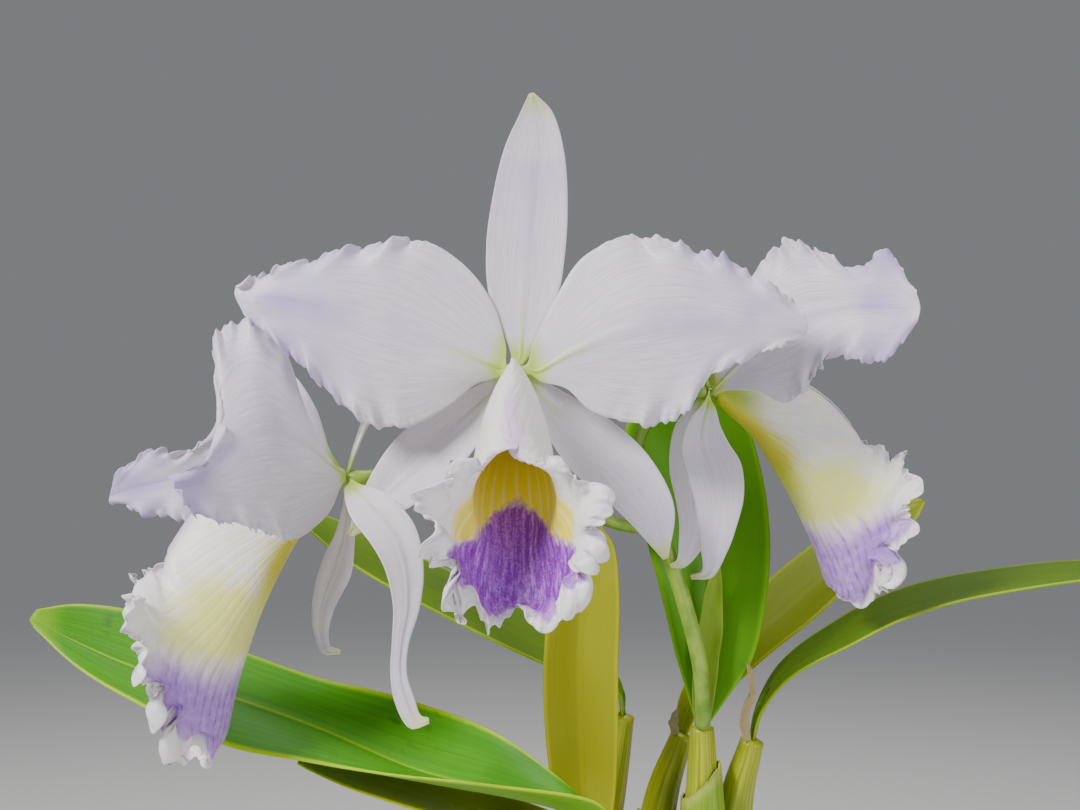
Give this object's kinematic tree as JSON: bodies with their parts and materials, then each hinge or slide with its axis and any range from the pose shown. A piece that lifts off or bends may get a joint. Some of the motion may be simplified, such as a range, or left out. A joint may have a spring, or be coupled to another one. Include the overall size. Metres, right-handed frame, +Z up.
{
  "type": "cattleya orchid",
  "caption": "Potted cattleya orchid: open blooms with waved petals and crimped trumpet lips on a branching stem, strap leaves on pseudobulbs, bark and a plain tapered pot.",
  "frame": {"origin": "centre of the pot's underside", "axes": "+Z up along the pot's axis; the middle bloom faces -Y; +X is to the right of someone who faces that bloom"},
  "size_m": [0.3848, 0.1852, 0.4402],
  "materials": {
    "petal": "matt, thin and waved, white with a lilac cast",
    "lip": "matt, crimped, white and gold with a violet blotch",
    "column": "waxy, cream",
    "stem": "waxy, green",
    "leaf_green": "leathery, half gloss, green",
    "leaf_yellow": "leathery, half gloss, yellow",
    "leaf_lime": "leathery, half gloss, yellow-green",
    "bulb": "waxy, yellow-green",
    "sheath": "thin, satin, light green",
    "dry": "dry and papery, tan",
    "rhizome": "woody, dull",
    "bark": "rough, broken, brown",
    "pot": "unglazed, matt, terracotta"
  },
  "bodies": {
    "root": {"centre_sepal_dorsal": "petal", "centre_sepal_left": "petal", "centre_sepal_right": "petal", "centre_petal_left": "petal", "centre_petal_right": "petal", "centre_lip": "lip", "centre_column": "column", "left_sepal_dorsal": "petal", "left_sepal_left": "petal", "left_sepal_right": "petal", "left_petal_left": "petal", "left_petal_right": "petal", "left_lip": "lip", "left_column": "column", "right_sepal_dorsal": "petal", "right_sepal_left": "petal", "right_sepal_right": "petal", "right_petal_left": "petal", "right_petal_right": "petal", "right_lip": "lip", "right_column": "column", "flower_stem": "stem", "leaf_left_green": "leaf_green", "leaf_upright_green": "leaf_green", "leaf_right_long": "leaf_green", "leaf_upright_yellow": "leaf_yellow", "leaf_left_olive": "leaf_lime", "leaf_left_back": "leaf_lime", "leaf_right_back": "leaf_lime", "pseudobulb_1": "bulb", "pseudobulb_2": "bulb", "pseudobulb_3": "bulb", "pseudobulb_4": "bulb", "pseudobulb_5": "bulb", "pseudobulb_6": "bulb", "pseudobulb_7": "bulb", "bulb_sheath_1": "dry", "bulb_sheath_2": "sheath", "bulb_sheath_3": "dry", "floral_sheath": "sheath", "dry_flower_sheath": "dry", "dry_bract": "dry", "rhizome_back": "rhizome", "rhizome_front": "rhizome", "pot": "pot", "bark": "bark"}
  },
  "joints": []
}
